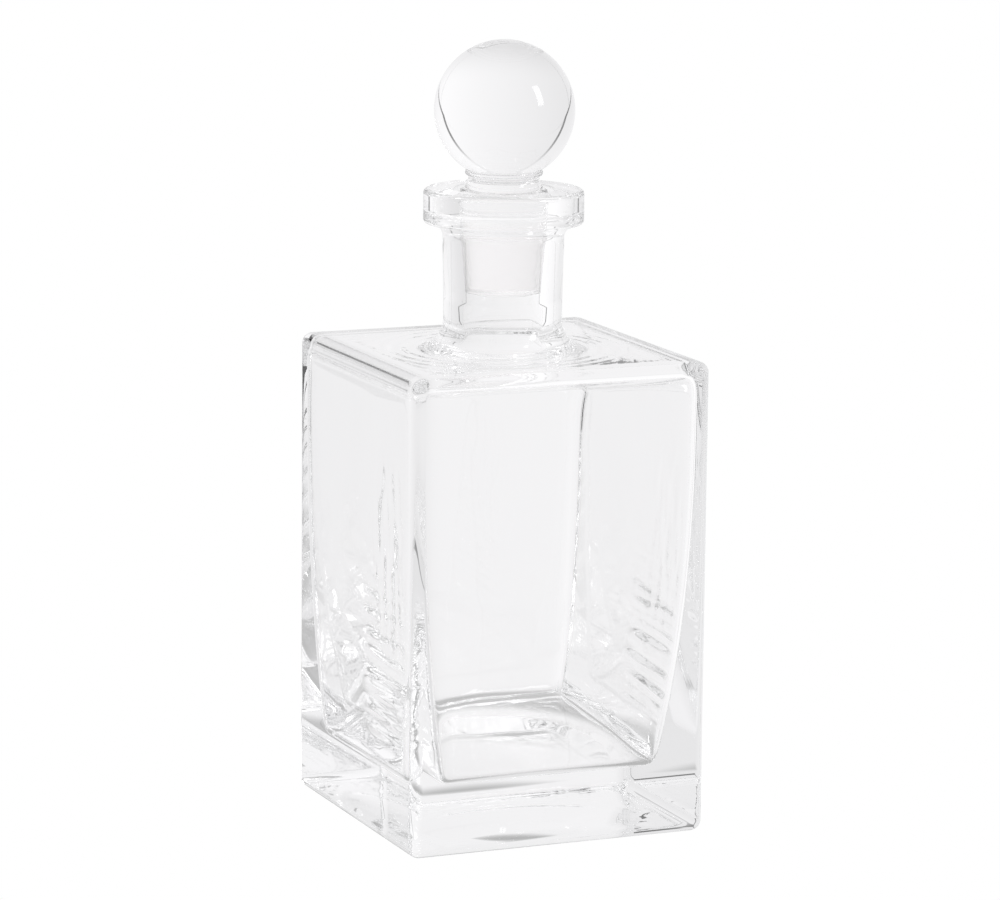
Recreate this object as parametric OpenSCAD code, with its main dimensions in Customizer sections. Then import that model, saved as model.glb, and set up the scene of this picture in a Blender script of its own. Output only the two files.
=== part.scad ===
// Square clear-glass decanter with a ball stopper.
// Origin at the middle of the base, +Z up, front face towards -Y. Millimetres.

/* [Body] */
// Width and depth of the square body
body_w = 100; // [90:1:110]
// Height of the body, from the base to the shoulder
body_h = 151; // [140:1:160]
// Radius of the body's rounded edges
edge_r = 3.6; // [2:0.2:5]
// Thickness of the solid glass foot under the cavity
foot_h = 20.5; // [16:1:28]
// Wall thickness under the shoulder
wall_top = 2.8; // [2:0.2:5]
// Wall thickness just above the foot
wall_foot = 13; // [8:0.5:15]
// Radius of the shallow round recess under the foot
recess_r = 34; // [24:1:38]
// Depth of that recess at its middle
recess_h = 2; // [1:0.2:4]

/* [Neck and lip] */
// Radius of the neck where it leaves the shoulder
neck_r = 18.8; // [17.5:0.1:19.2]
// Radius of the neck under the lip
neck_top_r = 19.2; // [18.5:0.1:20]
// Radius of the fillet between the neck and the shoulder
neck_fillet = 9; // [7:0.5:13]
// Radius of the lip
lip_r = 25.4; // [24:0.2:27]
// Height of the lip's upright band
lip_h = 10.5; // [7:0.5:11]
// Height of the cove under the lip
cove_h = 5.2; // [5:0.2:8]
// Height of the whole bottle, to the top of the lip
bottle_h = 201.5; // [198:0.5:206]

/* [Stopper] */
// Radius of the ball
ball_r = 22.2; // [20:0.1:24]
// Radius of the waist between the ball and the plug
waist_r = 11.2; // [10:0.1:12]
// Height of the waist, from the plug's head to the ball
waist_h = 7; // [6:0.2:10]
// Height of the plug that the bottle hides
plug_h = 30; // [26:0.5:32]

/* [Seal] */
// Outer radius of the sleeve at its lower rim
seal_r = 12.1; // [11.6:0.1:12.4]
// Height of the sleeve
seal_h = 20.5; // [16:0.5:24]
// Growth of the radius for each millimetre of height
seal_taper = 0.084; // [0.06:0.002:0.09]
// Wall thickness of the sleeve
seal_wall = 0.9; // [0.7:0.1:1.2]
// Radial gap on each side of the sleeve
seal_gap = 0.05; // [0.02:0.01:0.08]

/* [Hidden] */
$fn = 96;

plug_top = bottle_h - 3;                   // upper end of the plug's taper
plug_foot = plug_top - plug_h;             // lower end of the plug
seal_foot = plug_foot + 0.8;               // lower rim of the sleeve
seal_top = seal_foot + seal_h;             // upper rim of the sleeve
plug_gap = 0.15;                           // radial gap between the plug's clear head and the bore
plug_edge = 1.5;                           // rounding of the plug's lower rim
head_edge = 0.8;                           // rounding of the plug's head
lip_edge = 1.2;                            // step from the cove to the lip's band
mouth_h = 2;                               // height of the chamfer round the mouth
mouth_w = 1.2;                             // radial width of that chamfer
seat_foot = seal_foot - 3;                 // lower end of the tapered seat
bore_low_r = 12.6;                         // clear bore under the seat
shoulder_wall = 3.2;                       // glass over the cavity
cavity_top = body_h - shoulder_wall;
cavity_r = 7;                              // upright corners of the cavity
floor_r = 10;                              // round edge of the cavity's floor
wall_power = 2.6;                          // how quickly the walls thicken towards the foot
rim_r = 1.6;                               // rounding of the lip's rim
head_top = plug_top + 1.6;                 // top of the plug's clear head
ball_z = head_top + waist_h + sqrt(pow(ball_r, 2) - pow(waist_r, 2));

// Radius of the sleeve's outside at height z
function seal_at(z) = seal_r + seal_taper * (z - seal_foot);

// Points of an arc about [cr, cz], from one angle to another
function arc(cr, cz, r, from, to, steps = 12) =
    [for (i = [0:steps]) let (a = from + (to - from) * i / steps) [cr + r * cos(a), cz + r * sin(a)]];

// Wall thickness of the body at height z in the cavity
function wall_at(z) =
    wall_top + (wall_foot - wall_top) * pow(max(0, cavity_top - z) / (cavity_top - foot_h), wall_power);

// Square outline with round corners
module rounded_outline(width, height, r) {
    union() {
        square([width - 2 * r, height], center = true);
        square([width, height - 2 * r], center = true);
        for (x = [-1, 1], y = [-1, 1])
            translate([x * (width / 2 - r), y * (height / 2 - r)]) circle(r);
    }
}

// Block standing on z = 0 whose edges are all round
module rounded_block(width, height, r) {
    intersection() {
        linear_extrude(height) rounded_outline(width, width, r);
        translate([0, width, height / 2]) rotate([90, 0, 0])
            linear_extrude(2 * width) rounded_outline(width, height, r);
        translate([-width, 0, height / 2]) rotate([90, 0, 90])
            linear_extrude(2 * width) rounded_outline(width, height, r);
    }
}

// Outside of the neck, cove and lip, turned about the axis
module neck_outside() {
    cove_foot = bottle_h - lip_h - cove_h;
    cove_r = lip_r - neck_top_r - lip_edge;
    rotate_extrude() polygon(concat(
        [[0, body_h - 2]],
        [[neck_r + neck_fillet, body_h - 2]],
        arc(neck_r + neck_fillet, body_h + neck_fillet, neck_fillet, 270, 180),
        arc(neck_top_r + cove_r, cove_foot, cove_r, 180, 110, 8),
        [[lip_r, bottle_h - lip_h]],
        arc(lip_r - rim_r, bottle_h - rim_r, rim_r, 0, 90, 8),
        [[0, bottle_h]]
    ));
}

// The space that the neck's bore holds, from the cavity to above the lip
module bore_space() {
    flare = 6;
    mouth_foot = bottle_h - mouth_h;
    mouth_r = seal_at(mouth_foot) + mouth_w;
    clear = 5;
    rotate_extrude() polygon(concat(
        [[0, cavity_top - 4], [bore_low_r + flare, cavity_top - 4]],
        arc(bore_low_r + flare, cavity_top + flare, flare, 270, 180, 8),
        [[bore_low_r, seat_foot - 1], [seal_at(seat_foot) + seal_gap, seat_foot]],
        [[seal_at(mouth_foot) + seal_gap, mouth_foot]],
        [[mouth_r, bottle_h], [mouth_r, bottle_h + clear], [0, bottle_h + clear]]
    ));
}

// One level of the cavity: four thin discs, one in each upright corner
module cavity_level(z, inset) {
    half = body_w / 2 - wall_at(z) - inset - cavity_r;
    for (x = [-1, 1], y = [-1, 1])
        translate([x * half, y * half, z]) cylinder(h = 0.05, r = cavity_r, $fn = 32);
}

// The hollow of the body: wide under the shoulder, drawn in towards the thick foot
module cavity() {
    walls = 7;
    steps = 4;
    hull() {
        for (i = [0:steps])
            cavity_level(foot_h + floor_r * (1 - cos(90 * i / steps)), floor_r * (1 - sin(90 * i / steps)));
        for (i = [1:walls])
            cavity_level(foot_h + floor_r + (cavity_top - 5 - foot_h - floor_r) * i / walls, 0);
        cavity_level(cavity_top - 1.5, 1.5);
        cavity_level(cavity_top - 0.05, 5);
    }
}

// Shallow cap cut out of the underside, so that the decanter rests on its rim
module foot_recess() {
    cap_r = (pow(recess_r, 2) + pow(recess_h, 2)) / (2 * recess_h);
    translate([0, 0, recess_h - cap_r]) intersection() {
        sphere(cap_r);
        translate([0, 0, cap_r - 5]) cylinder(h = 12, r = recess_r + 8);
    }
}

module bottle() {
    color("azure", 0.4) difference() {
        union() {
            rounded_block(body_w, body_h, edge_r);
            neck_outside();
        }
        cavity();
        bore_space();
        foot_recess();
    }
}

module stopper() {
    ledge = seal_top + 0.1;
    core_top_r = seal_at(ledge) - seal_wall - seal_gap;
    core_foot_r = seal_at(plug_foot) - seal_wall - seal_gap;
    head_r = seal_at(plug_top) - plug_gap;
    flare = 4;
    meet = asin(waist_r / ball_r);
    color("white", 0.5) rotate_extrude() polygon(concat(
        [[0, plug_foot]],
        arc(core_foot_r - plug_edge, plug_foot + plug_edge, plug_edge, 270, 360, 6),
        [[core_top_r, ledge], [seal_at(ledge) - plug_gap, ledge]],
        arc(head_r - head_edge, plug_top + head_edge, head_edge, 0, 60, 4),
        arc(waist_r + flare, head_top + 0.7 + flare, flare, 248, 180, 6),
        arc(0, ball_z, ball_r, -90 + meet, 90, 40)
    ));
}

module seal_sleeve() {
    foot_r = seal_at(seal_foot);
    top_r = seal_at(seal_top);
    color("whitesmoke", 0.7) rotate_extrude() polygon(concat(
        [[foot_r - seal_wall, seal_foot + seal_wall / 2]],
        arc(foot_r - seal_wall / 2, seal_foot + seal_wall / 2, seal_wall / 2, 210, 360, 6),
        [[top_r, seal_top], [top_r - seal_wall, seal_top]]
    ));
}

bottle();
stopper();
seal_sleeve();
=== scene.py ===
"""Looks of the square glass decanter: the bottle, its ball stopper, the seal sleeve and the stage."""
import math

import bpy
from mathutils import Matrix, Vector


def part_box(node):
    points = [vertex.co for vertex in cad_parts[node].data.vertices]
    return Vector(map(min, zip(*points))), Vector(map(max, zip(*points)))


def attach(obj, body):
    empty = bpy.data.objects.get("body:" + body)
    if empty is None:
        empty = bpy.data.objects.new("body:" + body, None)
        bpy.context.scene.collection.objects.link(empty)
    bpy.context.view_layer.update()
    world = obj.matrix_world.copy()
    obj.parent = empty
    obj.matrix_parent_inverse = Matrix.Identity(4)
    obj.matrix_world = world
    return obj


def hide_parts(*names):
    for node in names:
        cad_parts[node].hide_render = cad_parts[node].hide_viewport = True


bl_info = {
    "name": "Square Glass Decanter",
    "version": (1, 0, 0),
    "blender": (4, 5, 0),
    "location": "View3D > Sidebar > Decanter",
    "description": "Models a square clear-glass decanter with a ball stopper around its packed frame",
    "category": "Add Mesh",
}

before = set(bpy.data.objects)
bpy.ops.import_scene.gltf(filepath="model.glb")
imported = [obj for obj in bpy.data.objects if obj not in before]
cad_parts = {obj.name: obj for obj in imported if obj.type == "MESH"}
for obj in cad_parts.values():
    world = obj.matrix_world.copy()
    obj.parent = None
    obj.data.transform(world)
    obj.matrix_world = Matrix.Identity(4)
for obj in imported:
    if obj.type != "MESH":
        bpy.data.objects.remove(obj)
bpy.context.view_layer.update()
BOTTLE_LOW, BOTTLE_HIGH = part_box("bottle")
STOPPER_LOW, STOPPER_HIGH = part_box("stopper")
SEAL_LOW, SEAL_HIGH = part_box("seal_sleeve")
BODY_WIDTH = BOTTLE_HIGH.x - BOTTLE_LOW.x
BALL_RADIUS = (STOPPER_HIGH.x - STOPPER_LOW.x) / 2
SIDES = 128                    # vertices in every round ring
CAGE_CELLS = 12                # cells along each edge of the cavity's cage
CAGE_POWER = 1.2               # how much closer together the cage's levels lie towards the foot
WALL_POWER = 2.6               # how quickly the walls thicken towards the foot
NEAR = 1e-5                    # places this close, in metres, count as one
TOUCHING = 1e-6                # vertices this close are merged


def size(name, text, default):
    """A length that the user may change, in metres."""
    return bpy.props.FloatProperty(name=name, description=text, default=default, unit="LENGTH", precision=5)


def share(name, text, default):
    """A plain number that the user may change."""
    return bpy.props.FloatProperty(name=name, description=text, default=default, precision=4)


def angle(name, text, degrees):
    """An angle that the user may change, kept in radians."""
    return bpy.props.FloatProperty(name=name, description=text, default=math.radians(degrees),
                                   subtype="ANGLE")


def tint(name, text, default):
    """A colour that the user may change."""
    return bpy.props.FloatVectorProperty(name=name, description=text, default=default, subtype="COLOR",
                                         min=0, max=1)


class BottleSettings(bpy.types.PropertyGroup):
    edge_radius: size("Edge radius", "Rounding of the body's outer edges", 0.0036)
    shoulder: size("Shoulder height", "Height of the flat top of the body", 0.151)
    foot: size("Foot thickness", "Solid glass under the cavity", 0.0205)
    wall_top: size("Wall at the top", "Thickness of the walls under the shoulder", 0.0028)
    wall_foot: size("Wall at the foot", "Thickness of the walls just above the foot", 0.013)
    shoulder_wall: size("Shoulder wall", "Thickness of the glass over the cavity", 0.0032)
    neck_radius: size("Neck radius", "Radius of the neck above the shoulder", 0.0188)
    neck_top_radius: size("Upper neck radius", "Radius of the neck under the lip", 0.0192)
    neck_fillet: size("Neck fillet", "Rounding between the neck and the shoulder", 0.009)
    lip_radius: size("Lip radius", "Radius of the lip's upright band", 0.0254)
    lip_height: size("Lip height", "Height of the lip's upright band", 0.0105)
    cove_height: size("Cove height", "Height of the hollow curve under the lip", 0.0052)
    rim_radius: size("Rim rounding", "Rounding of the lip's edges", 0.0016)
    bore_radius: size("Bore radius", "Radius of the clear bore under the seat", 0.0126)
    recess_radius: size("Recess radius", "Radius of the recess under the foot", 0.034)
    recess_height: size("Recess height", "Depth of the recess at its middle", 0.002)
    ripple: size("Ripple", "Height of the waves in the inner surface", 0.0008)
    ceiling_ripple: size("Ceiling ripple", "Height of the rings in the ceiling round the neck", 0.0001)
    stipple: size("Stipple", "Height of the rough corners of the underside", 0.0012)
    glass: tint("Glass colour", "Colour that thick glass takes", (0.955, 0.97, 0.975))


class StopperSettings(bpy.types.PropertyGroup):
    waist_radius: size("Waist radius", "Radius between the ball and the plug", 0.0112)
    head_height: size("Head height", "Height of the plug's rounded head over its taper", 0.0016)
    head_gap: size("Head gap", "Radial gap between the plug's clear head and the bore", 0.00015)
    flare: size("Flare", "Radius of the hollow curve from the head to the waist", 0.004)
    bead: size("Bead", "Radius of the bead under the ball", 0.0011)
    plug_height: size("Plug height", "Height of the plug that the bottle hides", 0.030)
    glass: tint("Glass colour", "Colour that thick glass takes", (0.965, 0.975, 0.98))


class SealSettings(bpy.types.PropertyGroup):
    taper: share("Taper", "Growth of the radius for each unit of height", 0.084)
    wall: size("Wall", "Thickness of the sleeve", 0.0009)
    gap: size("Gap", "Radial gap on each side of the sleeve", 0.00005)
    plastic: tint("Plastic colour", "Colour of the milky plastic", (0.985, 0.98, 0.98))


class StageSettings(bpy.types.PropertyGroup):
    azimuth: angle("Azimuth", "Turn of the camera about the decanter", -23.1)
    elevation: angle("Elevation", "Height of the camera's view above the horizon", 10.61)
    roll: angle("Roll", "Lean of the camera", 0.59)
    distance: size("Distance", "From the camera to the decanter", 1.517)
    aim: size("Aim height", "Height of the point that the camera looks at", 0.1176)
    aside: size("Aim aside", "How far along X that point lies from the axis", -0.0004)
    lens: share("Lens", "Focal length in millimetres on a 36 mm sensor", 171.6)
    floor: tint("Floor colour", "Colour of the plain floor", (1.0, 1.0, 1.0))
    paper: share("Paper", "Brightness of the paper tent behind the decanter", 0.905)
    shade: share("Shade", "Brightness of the floor under the decanter's corners", 0.45)
    shade_width: size("Shade width", "Width of the shaded patch of floor", 0.15)
    room: share("Room", "Brightness of the room on the camera's side", 0.86)
    seam: share("Seam width", "Width of the dark gap along the edges of the paper tent", 0.034)
    seam_depth: share("Seam depth", "How dark that gap is", 0.82)
    lamp: share("Lamp", "Brightness of the small tall lamp to the right", 4.0)


# ---------------------------------------------------------------- modelling helpers

def arc(centre, radius, start, end, steps):
    """Points of an arc in the upright plane, as (radius, height) pairs. Angles are in degrees."""
    points = []
    for i in range(steps + 1):
        a = math.radians(start + (end - start) * i / steps)
        points.append((centre[0] + radius * math.cos(a), centre[1] + radius * math.sin(a)))
    return points


def clear_selection():
    """Leaves edit mode and deselects every object."""
    active = bpy.context.view_layer.objects.active
    if active and active.mode != "OBJECT":
        bpy.ops.object.mode_set(mode="OBJECT")
    bpy.ops.object.select_all(action="DESELECT")


def edit(piece, kind="VERT"):
    """Opens a piece in edit mode with nothing selected."""
    clear_selection()
    bpy.context.view_layer.objects.active = piece
    piece.select_set(True)
    bpy.ops.object.mode_set(mode="EDIT")
    bpy.ops.mesh.select_mode(type=kind)
    bpy.ops.mesh.select_all(action="DESELECT")


def pick(piece, kind, wanted):
    """Selects the vertices or faces of a piece for which wanted is true, and nothing else."""
    edit(piece, kind)
    bpy.ops.object.mode_set(mode="OBJECT")
    parts = piece.data.vertices if kind == "VERT" else piece.data.polygons
    for part in parts:
        part.select = bool(wanted(part))
    bpy.ops.object.mode_set(mode="EDIT")


def settle(piece, name):
    """Names a new primitive and puts its place into its mesh."""
    piece.name = name
    piece.data.name = name
    bpy.ops.object.transform_apply(location=True, rotation=True, scale=True)
    return piece


def ring(name, station):
    """Starts a piece as one open ring about the upright axis, at (radius, height)."""
    clear_selection()
    bpy.ops.mesh.primitive_circle_add(vertices=SIDES, radius=station[0], location=(0, 0, station[1]))
    piece = settle(bpy.context.object, name)
    pick(piece, "VERT", lambda v: True)
    return piece


def climb(stations):
    """Extrudes the selected ring through the stations that follow the first one."""
    for (radius, height), (next_radius, next_height) in zip(stations, stations[1:]):
        bpy.ops.mesh.extrude_region_move(TRANSFORM_OT_translate={"value": (0, 0, next_height - height)})
        grow = next_radius / radius
        bpy.ops.transform.resize(value=(grow, grow, 1), center_override=(0, 0, next_height))


def close_pole():
    """Closes the selected ring with a fan that meets on the axis."""
    bpy.ops.mesh.extrude_region_move(TRANSFORM_OT_translate={"value": (0, 0, 0)})
    bpy.ops.mesh.merge(type="CENTER")
    bpy.ops.mesh.select_all(action="DESELECT")


def modify(piece, kind, **settings):
    """Adds a modifier with its settings and applies it."""
    clear_selection()
    bpy.context.view_layer.objects.active = piece
    piece.select_set(True)
    modifier = piece.modifiers.new(kind.title(), kind)
    for name, value in settings.items():
        setattr(modifier, name, value)
    bpy.ops.object.modifier_apply(modifier=modifier.name)


def join(pieces, name):
    """Joins pieces into the first one."""
    clear_selection()
    for piece in pieces:
        piece.select_set(True)
    bpy.context.view_layer.objects.active = pieces[0]
    bpy.ops.object.join()
    whole = bpy.context.object
    whole.name = name
    whole.data.name = name
    return whole


def weld(piece):
    """Merges doubles and points every face outwards."""
    pick(piece, "VERT", lambda v: True)
    bpy.ops.mesh.remove_doubles(threshold=TOUCHING)
    bpy.ops.mesh.select_all(action="SELECT")
    bpy.ops.mesh.normals_make_consistent(inside=False)
    bpy.ops.object.mode_set(mode="OBJECT")


def polish(piece, flat=True):
    """Shades a piece smooth. Large flat faces stay flat, or, without flat, only sharp edges stay sharp."""
    clear_selection()
    bpy.context.view_layer.objects.active = piece
    piece.select_set(True)
    if flat:
        bpy.ops.object.shade_smooth()
        modify(piece, "WEIGHTED_NORMAL", mode="FACE_AREA", weight=80, keep_sharp=False)
    else:
        bpy.ops.object.shade_smooth_by_angle(angle=math.radians(40))


def finish_piece(piece, material, body, node):
    """Gives a piece its material, its body and the node it stands for."""
    piece.data.materials.clear()
    piece.data.materials.append(material)
    clear_selection()
    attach(piece, body)
    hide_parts(node)


# ---------------------------------------------------------------- shader helpers

class Socket:
    """A shader socket or number that takes part in arithmetic."""

    def __init__(self, tree, link):
        self.tree = tree
        self.link = link

    def math(self, operation, *others):
        node = self.tree.nodes.new("ShaderNodeMath")
        node.operation = operation
        for place, value in zip(node.inputs, (self, *others)):
            if isinstance(value, Socket):
                self.tree.links.new(value.link, place)
            else:
                place.default_value = value
        return Socket(self.tree, node.outputs[0])

    def __add__(self, other):
        return self.math("ADD", other)

    __radd__ = __add__

    def __mul__(self, other):
        return self.math("MULTIPLY", other)

    __rmul__ = __mul__

    def __sub__(self, other):
        return self.math("SUBTRACT", other)

    def __rsub__(self, other):
        return (self * -1) + other


class Shader:
    """A material or world node tree with one method for every node."""

    def __init__(self, owner):
        owner.use_nodes = True
        self.tree = owner.node_tree
        self.tree.nodes.clear()

    def node(self, kind, settings=None, out=0, **values):
        made = self.tree.nodes.new(kind)
        for name, value in (settings or {}).items():
            setattr(made, name, value)
        for name, value in values.items():
            place = made.inputs[int(name[1:]) if name[1:].isdigit() else name.replace("_", " ")]
            if isinstance(value, Socket):
                self.tree.links.new(value.link, place)
            else:
                place.default_value = value
        if not made.outputs:
            return None
        return Socket(self.tree, made.outputs[out])

    def dot(self, way, axis):
        """How far a direction socket points along a fixed axis."""
        return self.node("ShaderNodeVectorMath", {"operation": "DOT_PRODUCT"}, out="Value",
                         i0=way, i1=axis)

    def ramp(self, value, low, high, at_low, at_high):
        """A smooth step from one value to another."""
        return self.node("ShaderNodeMapRange", {"interpolation_type": "SMOOTHSTEP"}, out="Result",
                         Value=value, From_Min=low, From_Max=high, To_Min=at_low, To_Max=at_high)


def glass_material(name, colour):
    """Clear polished glass whose colour deepens with its thickness."""
    material = bpy.data.materials.new(name)
    shader = Shader(material)
    place = shader.node("ShaderNodeTexCoord", out="Object")
    haze = shader.node("ShaderNodeTexNoise", {"noise_dimensions": "3D"}, out="Fac",
                       Vector=place, Scale=60.0, Detail=3.0)
    surface = shader.node("ShaderNodeBsdfPrincipled", out="BSDF", Base_Color=(1, 1, 1, 1),
                          Roughness=haze * 0.004, IOR=1.51, Transmission_Weight=1.0)
    inside = shader.node("ShaderNodeVolumeAbsorption", out="Volume", Color=(*colour, 1), Density=1.0)
    shader.node("ShaderNodeOutputMaterial", Surface=surface, Volume=inside)
    return material


def plastic_material(name, colour):
    """Milky translucent plastic. Its faint glow is painted light that stands for the light scattered inside
    it.
    """
    material = bpy.data.materials.new(name)
    shader = Shader(material)
    place = shader.node("ShaderNodeTexCoord", out="Object")
    cloud = shader.node("ShaderNodeTexNoise", {"noise_dimensions": "3D"}, out="Fac",
                        Vector=place, Scale=220.0, Detail=2.0)
    # the white emission is a painted glow standing for light scattered inside the plastic
    surface = shader.node("ShaderNodeBsdfPrincipled", out="BSDF", Base_Color=(*colour, 1),
                          Roughness=0.18 + cloud * 0.06, IOR=1.2, Transmission_Weight=1.0,
                          Emission_Color=(1, 1, 1, 1), Emission_Strength=0.02)
    shader.node("ShaderNodeOutputMaterial", Surface=surface)
    return material


# ---------------------------------------------------------------- pieces

def seal_radius(height, settings):
    """Outer radius of the sleeve, and of the seat without its gap, at a height."""
    return (SEAL_HIGH.x - SEAL_LOW.x) / 2 - settings.taper * (SEAL_HIGH.z - height)


def wall_at(height, s):
    """Wall thickness of the body at a height in the cavity."""
    top = s.shoulder - s.shoulder_wall
    depth = max(0.0, top - height) / (top - s.foot)
    return s.wall_top + (s.wall_foot - s.wall_top) * depth ** WALL_POWER


def outer_block(s):
    """The square body: a block with rounded edges, open at the neck and at the recess."""
    clear_selection()
    middle = s.shoulder / 2
    bpy.ops.mesh.primitive_cube_add(size=1, location=(0, 0, middle),
                                    scale=(BODY_WIDTH, BODY_WIDTH, s.shoulder))
    block = settle(bpy.context.object, "outer_block")
    pick(block, "VERT", lambda v: True)
    bpy.ops.mesh.bevel(offset=s.edge_radius, segments=10, profile=0.5, affect="EDGES")
    bpy.ops.object.mode_set(mode="OBJECT")
    upright = 0.99999
    pick(block, "FACE", lambda f: abs(f.normal.z) > upright and abs(f.center.z - middle) > middle - TOUCHING)
    bpy.ops.mesh.delete(type="ONLY_FACE")
    bpy.ops.mesh.select_mode(type="EDGE")
    bpy.ops.mesh.select_non_manifold(extend=False, use_wire=False, use_boundary=True, use_multi_face=False,
                                     use_non_contiguous=False, use_verts=False)
    bpy.ops.mesh.subdivide(number_cuts=SIDES // 4 - 1)
    bpy.ops.object.mode_set(mode="OBJECT")
    return block


def turned_glass(s, seal):
    """The neck, cove, lip and bore, turned about the axis from the shoulder to the cavity's ceiling."""
    top = BOTTLE_HIGH.z
    foot_radius = s.neck_radius + s.neck_fillet
    ceiling = s.shoulder - s.shoulder_wall
    lip_edge = 0.0012
    lip_edge_height = 0.0008
    cove_foot = top - s.lip_height - s.cove_height
    cove_radius = s.lip_radius - s.neck_top_radius - lip_edge
    mouth = seal_radius(top - 0.002, seal) + seal.gap
    mouth_edge = 0.0012
    mouth_width = 0.0022
    mouth_height = 0.0032
    seat_foot = SEAL_LOW.z - 0.003
    seat_step = 0.0015
    flare = 0.006
    stations = arc((foot_radius, s.shoulder + s.neck_fillet), s.neck_fillet, 270, 180, 14)
    stations += arc((s.neck_top_radius + cove_radius, cove_foot), cove_radius, 180, 112, 10)
    stations += arc((s.lip_radius - lip_edge, top - s.lip_height + lip_edge_height), lip_edge, 290, 360, 6)
    stations += arc((s.lip_radius - s.rim_radius, top - s.rim_radius), s.rim_radius, 0, 90, 8)
    stations += arc((mouth + mouth_width, top - mouth_edge), mouth_edge, 90, 190, 8)
    stations += [(mouth, top - mouth_height)]
    stations += [(seal_radius(seat_foot, seal) + seal.gap, seat_foot)]
    stations += [(s.bore_radius, seat_foot - seat_step)]
    stations += arc((s.bore_radius + flare, ceiling + flare), flare, 180, 270, 10)
    neck = ring("turned_glass", stations[0])
    climb(stations)
    bpy.ops.object.mode_set(mode="OBJECT")
    return neck, stations[-1][0]


def recess(s):
    """The shallow round cap in the underside of the foot."""
    bowl = (s.recess_radius ** 2 + s.recess_height ** 2) / (2 * s.recess_height)
    spread = math.degrees(math.asin(s.recess_radius / bowl))
    steps = 12
    stations = arc((0, s.recess_height - bowl), bowl, 90 - spread, 90 - spread / steps, steps - 1)
    cap = ring("recess", stations[0])
    climb(stations)
    close_pole()
    bpy.ops.object.mode_set(mode="OBJECT")
    return cap


def flat_part(point, inner, s):
    """Tells whether a point lies between a round loop and the body's rounded edges."""
    flat = BODY_WIDTH / 2 - s.edge_radius + NEAR
    return math.hypot(point.x, point.y) > inner - NEAR and max(abs(point.x), abs(point.y)) < flat


def bridge(piece, height, inner, s, cuts=0):
    """Bridges the two open loops at one height. The inner one is lifted meanwhile, to tell them apart."""
    lift = Vector((0, 0, 0.001))
    pick(piece, "VERT", lambda v: abs(v.co.z - height) < NEAR and math.hypot(v.co.x, v.co.y) < inner + NEAR)
    bpy.ops.transform.translate(value=lift)
    bpy.ops.mesh.select_mode(type="EDGE")
    bpy.ops.mesh.select_all(action="DESELECT")
    bpy.ops.mesh.select_non_manifold(extend=False, use_wire=False, use_boundary=True, use_multi_face=False,
                                     use_non_contiguous=False, use_verts=False)
    bpy.ops.object.mode_set(mode="OBJECT")
    mesh = piece.data
    for edge in mesh.edges:
        middle = sum(mesh.vertices[i].co.z for i in edge.vertices) / 2 - height
        edge.select = edge.select and min(abs(middle), abs(middle - lift.z)) < NEAR
    bpy.ops.object.mode_set(mode="EDIT")
    bpy.ops.mesh.bridge_edge_loops(number_cuts=cuts, interpolation="LINEAR")
    bpy.ops.object.mode_set(mode="OBJECT")
    pick(piece, "VERT", lambda v: TOUCHING < v.co.z - height < lift.z + NEAR and flat_part(v.co, inner, s))
    bpy.ops.transform.resize(value=(1, 1, 0), center_override=(0, 0, height))
    bpy.ops.object.mode_set(mode="OBJECT")


def cavity(s):
    """The hollow's inner wall as a cage of square levels, closer together and narrower towards the foot."""
    ceiling = s.shoulder - s.shoulder_wall
    depth = ceiling - s.foot
    half = BODY_WIDTH / 2 - s.wall_top
    clear_selection()
    bpy.ops.mesh.primitive_cube_add(size=1, location=(0, 0, (ceiling + s.foot) / 2),
                                    scale=(2 * half, 2 * half, depth))
    shell = settle(bpy.context.object, "cavity")
    pick(shell, "VERT", lambda v: True)
    bpy.ops.mesh.subdivide(number_cuts=CAGE_CELLS - 1)
    bpy.ops.object.mode_set(mode="OBJECT")
    for step in range(CAGE_CELLS + 1):
        share_up = step / CAGE_CELLS
        level = s.foot + depth * share_up
        lower = s.foot + depth * share_up ** CAGE_POWER
        narrow = (BODY_WIDTH / 2 - wall_at(lower, s)) / half
        pick(shell, "VERT", lambda v: abs(v.co.z - level) < NEAR)
        bpy.ops.transform.resize(value=(narrow, narrow, 1), center_override=(0, 0, level))
        bpy.ops.transform.translate(value=(0, 0, lower - level))
    bpy.ops.object.mode_set(mode="OBJECT")
    return shell


def between(value, low, high):
    """0 below low, 1 above high, and a smooth step from one to the other."""
    t = min(1.0, max(0.0, (value - low) / (high - low)))
    return t * t * (3 - 2 * t)


def band(value, rise, full, fade, end):
    """0 up to rise and from end on, 1 from full to fade, and smooth steps between them."""
    return between(value, rise, full) * (1 - between(value, fade, end))


def wave(shell, name, grain, height, squeeze, weight):
    """Displaces the inner wall by soft noise. Squeezing the wall meanwhile draws the noise out."""
    group = shell.vertex_groups.new(name=name)
    for vertex in shell.data.vertices:
        group.add([vertex.index], weight(vertex.co), "REPLACE")
    texture = bpy.data.textures.new(name, "CLOUDS")
    texture.noise_scale = grain
    texture.noise_depth = 1
    texture.contrast = 3.0
    back = tuple(1 / factor for factor in squeeze)
    pick(shell, "VERT", lambda v: True)
    bpy.ops.transform.resize(value=squeeze, center_override=(0, 0, 0))
    bpy.ops.object.mode_set(mode="OBJECT")
    modify(shell, "DISPLACE", texture=texture, texture_coords="LOCAL", direction="NORMAL",
           vertex_group=name, mid_level=0.5, strength=height * squeeze[0])
    pick(shell, "VERT", lambda v: True)
    bpy.ops.transform.resize(value=back, center_override=(0, 0, 0))
    bpy.ops.object.mode_set(mode="OBJECT")


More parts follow.
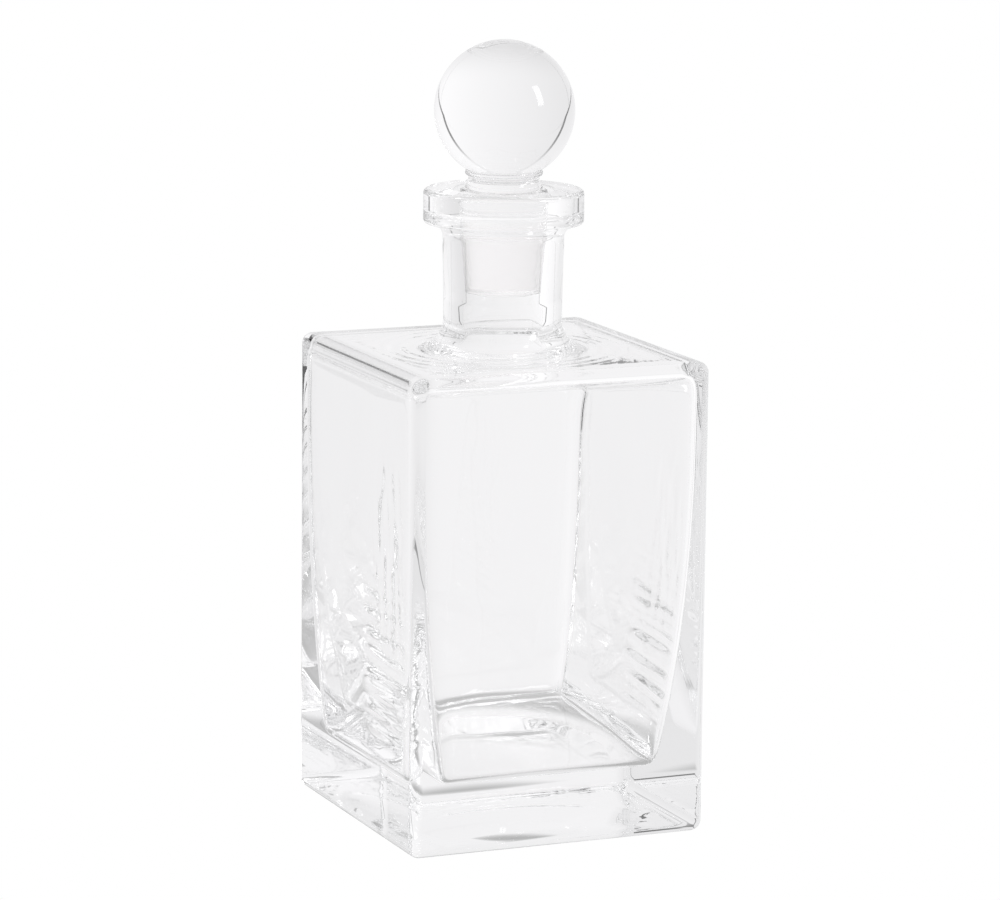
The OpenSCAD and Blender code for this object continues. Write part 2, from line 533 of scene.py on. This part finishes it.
def wrinkle(shell, s):
    """The waves that pressing leaves inside: low ripples, folds over them, a slow swell, ceiling rings."""
    ceiling = s.shoulder - s.shoulder_wall
    front_half = (0.000, 0.014, 0.034, 0.041)
    ripple_levels = (0.028, 0.040, 0.065, 0.090)
    fold_levels = (0.055, 0.075, 0.090, 0.130)
    ring_reach = (0.024, 0.027, 0.034, 0.044)
    ring_spacing = 0.0048

    def side(p):
        """How far a point lies on the front half of a side wall."""
        return band(-p.y, *front_half) * between(abs(p.x) - abs(p.y), -0.004, 0.004)

    def low(p):
        return side(p) * band(p.z, *ripple_levels)

    def fold(p):
        return side(p) * between(-p.y, 0.012, 0.022) * band(p.z, *fold_levels)

    def calm(p):
        return 1 - between(p.z, ceiling - 0.012, ceiling - 0.002)

    wave(shell, "Low ripples", grain=0.002, height=s.ripple, squeeze=(0.05, 0.05, 1), weight=low)
    wave(shell, "Side folds", grain=0.005, height=s.ripple * 0.4, squeeze=(1, 1, 0.3), weight=fold)
    wave(shell, "Slow swell", grain=0.03, height=s.ripple * 0.13, squeeze=(1, 1, 1), weight=calm)
    shell.vertex_groups.clear()
    for vertex in shell.data.vertices:
        p = vertex.co
        reach = math.hypot(p.x, p.y)
        strength = band(reach, *ring_reach) * between(p.z, ceiling - 0.001, ceiling)
        p.z -= s.ceiling_ripple * strength * (1 + math.sin(reach * 2 * math.pi / ring_spacing))


def stipple(bottle, s):
    """Roughens the flat corners of the underside, as the mould leaves them."""
    inner = s.recess_radius
    outer = BODY_WIDTH / 2 - s.edge_radius

    def corner(p):
        rim = between(math.hypot(p.x, p.y), inner + 0.004, inner + 0.010)
        edge = 1 - between(max(abs(p.x), abs(p.y)), outer - 0.003, outer)
        return rim * edge if abs(p.z) < TOUCHING and flat_part(p, inner, s) else 0.0

    group = bottle.vertex_groups.new(name="Underside")
    for vertex in bottle.data.vertices:
        group.add([vertex.index], corner(vertex.co), "REPLACE")
    texture = bpy.data.textures.new("Stipple", "CLOUDS")
    texture.noise_scale = 0.004
    modify(bottle, "DISPLACE", texture=texture, texture_coords="LOCAL", direction="Z",
           vertex_group="Underside", mid_level=0.0, strength=s.stipple)
    bottle.vertex_groups.clear()


def open_cavity(shell, s, hole):
    """Opens the cage's ceiling with a round hole for the bore, and smooths and wrinkles the cage."""
    ceiling = s.shoulder - s.shoulder_wall
    reach = BODY_WIDTH / 4
    margin = 0.004

    def over_bore(face):
        return face.center.z > ceiling - NEAR and max(abs(face.center.x), abs(face.center.y)) < reach

    pick(shell, "FACE", over_bore)
    bpy.ops.mesh.delete(type="FACE")
    bpy.ops.mesh.select_mode(type="VERT")
    bpy.ops.mesh.select_non_manifold(extend=False, use_wire=False, use_boundary=True, use_multi_face=False,
                                     use_non_contiguous=False, use_verts=False)
    bpy.ops.transform.tosphere(value=1.0)
    bpy.ops.object.mode_set(mode="OBJECT")
    rim = [v.co for v in shell.data.vertices if v.select]
    now = sum(math.hypot(p.x, p.y) for p in rim) / len(rim)
    pick(shell, "VERT", lambda v: v.co.z > ceiling - NEAR and abs(math.hypot(v.co.x, v.co.y) - now) < 1e-4)
    grow = (hole + margin) / now
    bpy.ops.transform.resize(value=(grow, grow, 1), center_override=(0, 0, ceiling))
    bpy.ops.object.mode_set(mode="OBJECT")
    modify(shell, "SUBSURF", levels=3, render_levels=3)
    wrinkle(shell, s)
    return shell


class DECANTER_OT_bottle(bpy.types.Operator):
    """Models the bottle: body, neck, lip and inner wall as one closed piece of glass"""
    bl_idname = "decanter.bottle"
    bl_label = "Bottle"

    def execute(self, context):
        s = context.scene.decanter_bottle
        seal = context.scene.decanter_seal
        block = outer_block(s)
        neck, hole = turned_glass(s, seal)
        cap = recess(s)
        shell = open_cavity(cavity(s), s, hole)
        bottle = join([block, neck, cap, shell], "bottle_glass")
        bridge(bottle, s.shoulder, s.neck_radius + s.neck_fillet, s)
        bridge(bottle, 0.0, s.recess_radius, s, cuts=15)
        bridge(bottle, s.shoulder - s.shoulder_wall, hole, s)
        stipple(bottle, s)
        weld(bottle)
        polish(bottle)
        finish_piece(bottle, glass_material("Bottle glass", s.glass), "bottle", "bottle")
        return {"FINISHED"}


class DECANTER_OT_stopper(bpy.types.Operator):
    """Models the solid glass stopper: ball, bead, waist, head and plug"""
    bl_idname = "decanter.stopper"
    bl_label = "Stopper"

    def execute(self, context):
        s = context.scene.decanter_stopper
        seal = context.scene.decanter_seal
        foot = STOPPER_LOW.z
        plug_top = foot + s.plug_height
        ledge = SEAL_HIGH.z + 0.0001
        foot_edge = 0.0015
        head_edge = 0.0008
        head_rise = 0.0007
        head_top = plug_top + s.head_height
        inside = seal.wall + seal.gap
        foot_radius = seal_radius(foot, seal) - inside
        head_radius = seal_radius(plug_top, seal) - s.head_gap
        ball = STOPPER_HIGH.z - BALL_RADIUS
        bead = s.waist_radius + s.bead
        meet = math.degrees(math.asin(bead / BALL_RADIUS))
        bead_height = ball - BALL_RADIUS * math.cos(math.radians(meet)) - s.bead
        stations = [(foot_radius / 3, foot)]
        stations += arc((foot_radius - foot_edge, foot + foot_edge), foot_edge, 270, 360, 6)
        stations += [(seal_radius(ledge, seal) - inside, ledge)]
        stations += [(seal_radius(ledge, seal) - s.head_gap, ledge)]
        stations += arc((head_radius - head_edge, plug_top + head_edge), head_edge, 0, 60, 4)
        stations += arc((s.waist_radius + s.flare, head_top + head_rise + s.flare), s.flare, 248, 180, 10)
        stations += [(s.waist_radius, bead_height - s.bead)]
        stations += arc((s.waist_radius, bead_height), s.bead, -60, 60, 12)
        stations += arc((0, ball), BALL_RADIUS, meet - 90, 88, 60)
        stopper = ring("stopper_glass", stations[0])
        bpy.ops.mesh.edge_face_add()
        bpy.ops.mesh.select_mode(type="EDGE")
        climb(stations)
        bpy.ops.mesh.edge_face_add()
        weld(stopper)
        polish(stopper, flat=False)
        finish_piece(stopper, glass_material("Stopper glass", s.glass), "stopper", "stopper")
        return {"FINISHED"}


class DECANTER_OT_seal(bpy.types.Operator):
    """Models the milky sleeve on the plug"""
    bl_idname = "decanter.seal"
    bl_label = "Seal sleeve"

    def execute(self, context):
        s = context.scene.decanter_seal
        low, high = SEAL_LOW.z, SEAL_HIGH.z
        half = s.wall / 2
        edge = 0.0001
        foot_radius, top_radius = seal_radius(low, s), seal_radius(high, s)
        stations = [(top_radius - s.wall, high), (foot_radius - s.wall, low + half)]
        stations += arc((foot_radius - half, low + half), half, 180, 360, 8)[1:]
        stations += [(top_radius, high - edge), (top_radius - edge, high), (top_radius - s.wall, high)]
        sleeve = ring("seal_sleeve_plastic", stations[0])
        climb(stations)
        weld(sleeve)
        polish(sleeve)
        material = plastic_material("Seal plastic", s.plastic)
        finish_piece(sleeve, material, "seal", "seal_sleeve")
        return {"FINISHED"}


class DECANTER_OT_stage(bpy.types.Operator):
    """Sets the floor, the soft light and the camera"""
    bl_idname = "decanter.stage"
    bl_label = "Stage"

    def execute(self, context):
        s = context.scene.decanter_stage
        scene = context.scene
        clear_selection()
        bpy.ops.mesh.primitive_plane_add(size=60, location=(0, 0, 0))
        floor = settle(bpy.context.object, "floor")
        material = bpy.data.materials.new("Floor paper")
        shader = Shader(material)
        paper = shader.node("ShaderNodeEmission", out="Emission", Color=(*s.floor, 1), Strength=1.0)
        shader.node("ShaderNodeOutputMaterial", Surface=paper)
        floor.data.materials.append(material)
        floor.visible_glossy = False
        floor.visible_transmission = False
        floor.visible_diffuse = False
        contact_shade(s)
        world = bpy.data.worlds.new("Studio")
        scene.world = world
        studio_light(Shader(world), s)
        bpy.ops.object.camera_add()
        camera = bpy.context.object
        back = Vector((math.sin(s.azimuth) * math.cos(s.elevation),
                       -math.cos(s.azimuth) * math.cos(s.elevation), math.sin(s.elevation)))
        right = Vector((math.cos(s.azimuth), math.sin(s.azimuth), 0))
        up = back.cross(right)
        tilted_right = right * math.cos(s.roll) + up * math.sin(s.roll)
        tilted_up = up * math.cos(s.roll) - right * math.sin(s.roll)
        turn = Matrix((tilted_right, tilted_up, back)).transposed().to_4x4()
        camera.matrix_world = Matrix.Translation(Vector((s.aside, 0, s.aim)) + back * s.distance) @ turn
        camera.data.lens = s.lens
        camera.data.clip_end = 100
        scene.camera = camera
        scene.view_settings.view_transform = "Standard"
        scene.cycles.max_bounces = 40
        scene.cycles.transmission_bounces = 40
        scene.cycles.glossy_bounces = 24
        return {"FINISHED"}


def contact_shade(s):
    """A ring of painted shade on the floor under the decanter's corners: a dim glowing sheet seen only
    through its glass.
    """
    clear_selection()
    bpy.ops.mesh.primitive_plane_add(size=s.shade_width, location=(0, 0, -0.0004))
    shade = settle(bpy.context.object, "contact_shade")
    material = bpy.data.materials.new("Painted contact shade")
    shader = Shader(material)
    place = shader.node("ShaderNodeTexCoord", out="Object")
    reach = shader.node("ShaderNodeVectorMath", {"operation": "LENGTH"}, out="Value", i0=place)
    corners = BODY_WIDTH / 2
    cover = (shader.ramp(reach, corners * 0.8, corners, 0.0, 1.0)
             * shader.ramp(reach, corners * 1.25, corners * 1.5, 1.0, 0.0))
    # painted shade: a dim emission stands for the floor's shade under the corners
    painted_shade = shader.node("ShaderNodeEmission", out="Emission", Color=(1, 1, 1, 1), Strength=s.shade)
    clear = shader.node("ShaderNodeBsdfTransparent", out="BSDF")
    both = shader.node("ShaderNodeMixShader", out="Shader", Fac=cover, i1=clear, i2=painted_shade)
    shader.node("ShaderNodeOutputMaterial", Surface=both)
    shade.data.materials.append(material)
    shade.visible_camera = False


def studio_light(shader, s):
    """A bright paper tent behind the decanter with a dark seam round it, a dimmer room and a small lamp."""
    way = shader.node("ShaderNodeTexCoord", out="Generated")
    forward = Vector((-math.sin(s.azimuth), math.cos(s.azimuth), 0))
    right = Vector((math.cos(s.azimuth), math.sin(s.azimuth), 0))
    up = Vector((0, 0, 1))
    ahead = shader.dot(way, forward)
    aside = shader.dot(way, right)
    high = shader.dot(way, up)
    below = (-1 * high).math("MAXIMUM", 0.0)

    # the tent is where this is above zero: it narrows to the sides and the roof, and widens to the floor
    tent = 0.67 * ahead - 0.57 * aside.math("ABSOLUTE") - 0.48 * high + 0.65 * below
    inside = shader.ramp(tent, 0.0, s.seam, 0.0, 1.0)

    # both are brighter to the right; the paper dims towards the ground, the room rises to the roof
    ground = 0.2 * shader.ramp(below, 0.4, 1.0, 0.0, 1.0)
    paper = (s.paper + 0.15 * aside) * (1 - ground)
    room = shader.ramp(ahead, -0.9, 0.5, s.room, 0.9) + 0.12 * aside + 0.1 * high
    light = room + (paper - room) * inside

    # the seam fades well above and well below the horizon
    near_horizon = shader.ramp(high, 0.2, 0.6, 1.0, 0.15) * shader.ramp(high, -0.5, -0.25, 0.1, 1.0)
    seam = shader.ramp(tent.math("ABSOLUTE"), s.seam * 0.5, s.seam, 1.0, 0.0) * near_horizon
    light = light * (1 - seam * s.seam_depth)

    # a tall rectangle of light, up to the right on the camera's side
    lamp = (right * 0.81 + up * 0.40 - forward * 0.41).normalized()
    across = up.cross(lamp).normalized()
    along = lamp.cross(across)
    shape = (shader.ramp(shader.dot(way, across).math("ABSOLUTE"), 0.08, 0.11, 1.0, 0.0)
             * shader.ramp(shader.dot(way, along).math("ABSOLUTE"), 0.22, 0.27, 1.0, 0.0)
             * shader.ramp(shader.dot(way, lamp), 0.5, 0.6, 0.0, 1.0))
    light = light + shape * s.lamp

    # the camera itself sees plain white
    seen = shader.node("ShaderNodeLightPath", out="Is Camera Ray")
    strength = light * (1 - seen) + seen
    tone = (0.995, 0.99, 1, 1)
    back = shader.node("ShaderNodeBackground", out="Background", Color=tone, Strength=strength)
    shader.node("ShaderNodeOutputWorld", Surface=back)


class DECANTER_PT_panel(bpy.types.Panel):
    """Lists the pieces, the stage and their settings in the sidebar"""
    bl_idname = "DECANTER_PT_panel"
    bl_label = "Decanter"
    bl_space_type = "VIEW_3D"
    bl_region_type = "UI"
    bl_category = "Decanter"

    def draw(self, context):
        scene = context.scene
        for operator in OPERATORS:
            self.layout.operator(operator.bl_idname)
        for owner in SETTINGS:
            settings = getattr(scene, owner)
            box = self.layout.box()
            for name in settings.__annotations__:
                box.prop(settings, name)


OPERATORS = (DECANTER_OT_bottle, DECANTER_OT_stopper, DECANTER_OT_seal, DECANTER_OT_stage)
SETTINGS = {
    "decanter_bottle": BottleSettings,
    "decanter_stopper": StopperSettings,
    "decanter_seal": SealSettings,
    "decanter_stage": StageSettings,
}


def register():
    for settings in SETTINGS.values():
        bpy.utils.register_class(settings)
    for name, settings in SETTINGS.items():
        setattr(bpy.types.Scene, name, bpy.props.PointerProperty(type=settings))
    for operator in OPERATORS:
        bpy.utils.register_class(operator)
    bpy.utils.register_class(DECANTER_PT_panel)


def unregister():
    bpy.utils.unregister_class(DECANTER_PT_panel)
    for operator in reversed(OPERATORS):
        bpy.utils.unregister_class(operator)
    for name in SETTINGS:
        delattr(bpy.types.Scene, name)
    for settings in reversed(list(SETTINGS.values())):
        bpy.utils.unregister_class(settings)


def main():
    register()
    bpy.ops.decanter.bottle()
    bpy.ops.decanter.stopper()
    bpy.ops.decanter.seal()
    bpy.ops.decanter.stage()


if __name__ == "__main__":
    main()
